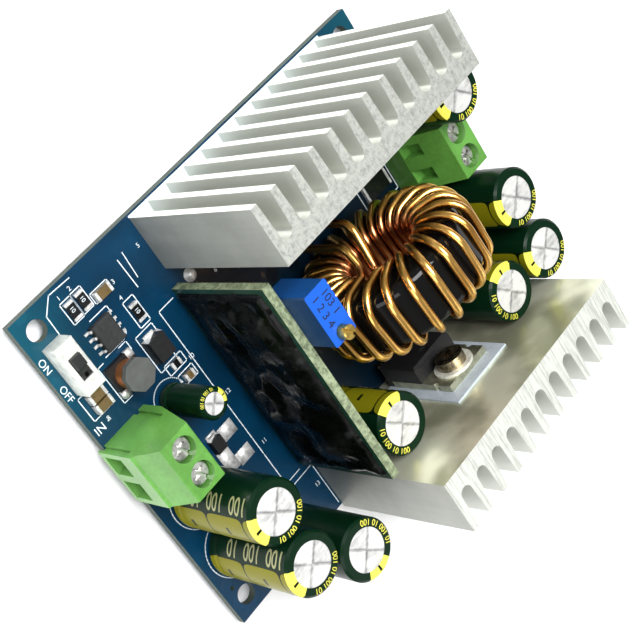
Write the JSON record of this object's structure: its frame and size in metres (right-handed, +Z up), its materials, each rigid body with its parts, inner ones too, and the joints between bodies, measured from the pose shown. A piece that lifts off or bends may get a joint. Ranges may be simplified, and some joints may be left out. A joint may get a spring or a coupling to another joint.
{
  "type": "buck converter module",
  "caption": "Step-down converter board with two finned heatsinks, a ring inductor on edge, upright control board, screw terminals, slide switch and electrolytic capacitors.",
  "frame": {"origin": "middle of the board on its underside, at the centre of the four corner holes", "axes": "+Z up through the board, +Y along its long side from the input terminal to the output terminal, +X towards the heatsink that carries the transistor"},
  "size_m": [0.0658, 0.0852, 0.0354],
  "materials": {
    "board_mask": "glossy blue solder mask over glass-fibre board",
    "control_mask": "dark solder mask with pale green bare edges",
    "solder": "bright tin",
    "sink_aluminium": "satin as extruded, sawn ends",
    "plated_steel": "nickel plated",
    "black_moulding": "matt epoxy moulding",
    "tinned_copper": "tinned",
    "insulating_sheet": "bluish white, smooth",
    "core_coating": "black epoxy coat",
    "enamelled_wire": "amber enamel over copper",
    "sealing_compound": "poured, glossy black",
    "trimmer_blue": "bright blue",
    "brass": "bright",
    "terminal_green": "light green",
    "can_aluminium": "bright, scored top",
    "printed_sleeve": "dark green with one pale yellow stripe",
    "chip_ceramic": "black glaze, tinned ends",
    "capacitor_ceramic": "tan, tinned ends",
    "ferrite": "dark grey, ground",
    "switch_shell": "bright plated sheet",
    "switch_plastic": "dark grey"
  },
  "bodies": {
    "module": {"capacitor_a": "can_aluminium", "capacitor_b": "can_aluminium", "capacitor_c": "can_aluminium", "capacitor_d": "can_aluminium", "capacitor_e": "can_aluminium", "capacitor_f": "can_aluminium", "capacitor_g": "can_aluminium", "capacitor_h": "can_aluminium", "capacitor_small": "can_aluminium", "chip_capacitors": "capacitor_ceramic", "chip_resistors": "chip_ceramic", "choke_coil": "enamelled_wire", "choke_drum": "ferrite", "control_board": "control_mask", "control_compound": "sealing_compound", "control_header": "black_moulding", "control_pins": "tinned_copper", "device_screws": "plated_steel", "driver_chip": "black_moulding", "heatsink_left": "sink_aluminium", "heatsink_right": "sink_aluminium", "heatsink_screws": "plated_steel", "inductor_core": "core_coating", "inductor_winding": "enamelled_wire", "input_terminal": "terminal_green", "insulating_pads": "insulating_sheet", "main_board": "board_mask", "output_terminal": "terminal_green", "rectifier_body": "black_moulding", "rectifier_frame": "tinned_copper", "sleeve_a": "printed_sleeve", "sleeve_b": "printed_sleeve", "sleeve_c": "printed_sleeve", "sleeve_d": "printed_sleeve", "sleeve_e": "printed_sleeve", "sleeve_f": "printed_sleeve", "sleeve_g": "printed_sleeve", "sleeve_h": "printed_sleeve", "sleeve_small": "printed_sleeve", "solder_joints": "solder", "surface_diodes": "black_moulding", "switch_base": "black_moulding", "switch_pins": "tinned_copper", "switch_shell": "switch_shell", "terminal_contacts": "tinned_copper", "transistor_body": "black_moulding", "transistor_frame": "tinned_copper", "trimmer_body": "trimmer_blue", "trimmer_leads": "tinned_copper"},
    "switch_knob": {"switch_slider": "switch_plastic", "switch_contact": "brass"},
    "trimmer_adjuster": {"trimmer_screw": "brass"},
    "input_clamp_a": {"input_screw_a": "plated_steel"},
    "input_lift_a": {"input_cage_a": "plated_steel"},
    "input_clamp_b": {"input_screw_b": "plated_steel"},
    "input_lift_b": {"input_cage_b": "plated_steel"},
    "output_clamp_a": {"output_screw_a": "plated_steel"},
    "output_lift_a": {"output_cage_a": "plated_steel"},
    "output_clamp_b": {"output_screw_b": "plated_steel"},
    "output_lift_b": {"output_cage_b": "plated_steel"}
  },
  "joints": [
    {"name": "switch_slide", "type": "slide", "parent": "module", "child": "switch_knob", "axis": [1, 0, 0], "range_m": [0, 0.002]},
    {"name": "trimmer_turn", "type": "hinge", "parent": "module", "child": "trimmer_adjuster", "pos_m": [-0.00707, -0.01239, 0.0314], "axis": [0, 0, 1], "continuous": true},
    {"name": "input_turn_a", "type": "hinge", "parent": "module", "child": "input_clamp_a", "pos_m": [-0.00554, -0.0372, 0.0136], "axis": [0, 0, -1], "range_deg": [0, 1800]},
    {"name": "input_rise_a", "type": "slide", "parent": "module", "child": "input_lift_a", "axis": [0, 0, 1], "range_m": [0, 0.0025]},
    {"name": "input_turn_b", "type": "hinge", "parent": "module", "child": "input_clamp_b", "pos_m": [-0.00046, -0.0372, 0.0136], "axis": [0, 0, -1], "range_deg": [0, 1800]},
    {"name": "input_rise_b", "type": "slide", "parent": "module", "child": "input_lift_b", "axis": [0, 0, 1], "range_m": [0, 0.0025]},
    {"name": "output_turn_a", "type": "hinge", "parent": "module", "child": "output_clamp_a", "pos_m": [-0.00276, 0.0372, 0.0136], "axis": [0, 0, -1], "range_deg": [0, 1800]},
    {"name": "output_rise_a", "type": "slide", "parent": "module", "child": "output_lift_a", "axis": [0, 0, 1], "range_m": [0, 0.0025]},
    {"name": "output_turn_b", "type": "hinge", "parent": "module", "child": "output_clamp_b", "pos_m": [-0.00784, 0.0372, 0.0136], "axis": [0, 0, -1], "range_deg": [0, 1800]},
    {"name": "output_rise_b", "type": "slide", "parent": "module", "child": "output_lift_b", "axis": [0, 0, 1], "range_m": [0, 0.0025]}
  ],
  "couplings": [
    {"joint": "input_turn_a", "follows": "input_rise_a", "rad_per_m": 12566},
    {"joint": "input_turn_b", "follows": "input_rise_b", "rad_per_m": 12566},
    {"joint": "output_turn_a", "follows": "output_rise_a", "rad_per_m": 12566},
    {"joint": "output_turn_b", "follows": "output_rise_b", "rad_per_m": 12566}
  ]
}
